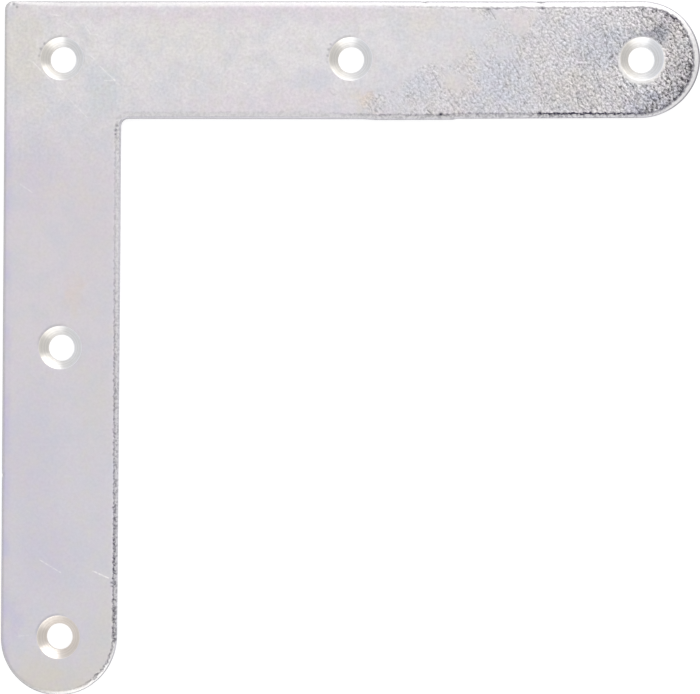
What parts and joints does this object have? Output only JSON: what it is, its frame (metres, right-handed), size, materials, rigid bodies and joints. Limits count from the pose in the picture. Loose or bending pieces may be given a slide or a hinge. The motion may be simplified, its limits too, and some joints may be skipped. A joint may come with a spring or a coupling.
{
  "type": "flat corner bracket",
  "caption": "Flat L-shaped steel corner bracket with rounded arm ends and countersunk screw holes, for reinforcing frame corners.",
  "frame": {"origin": "on the axis of the corner screw hole, at the flat back face", "axes": "+Z out of the countersunk front face, +X along one arm towards its rounded end, -Y along the other arm towards its rounded end"},
  "size_m": [0.12, 0.12, 0.002],
  "materials": {
    "zinc_plated_steel": "stamped mild steel, bright zinc plated with a faint clear passivation tint, satin"
  },
  "bodies": {
    "root": {"bracket_plate": "zinc_plated_steel"}
  },
  "joints": []
}
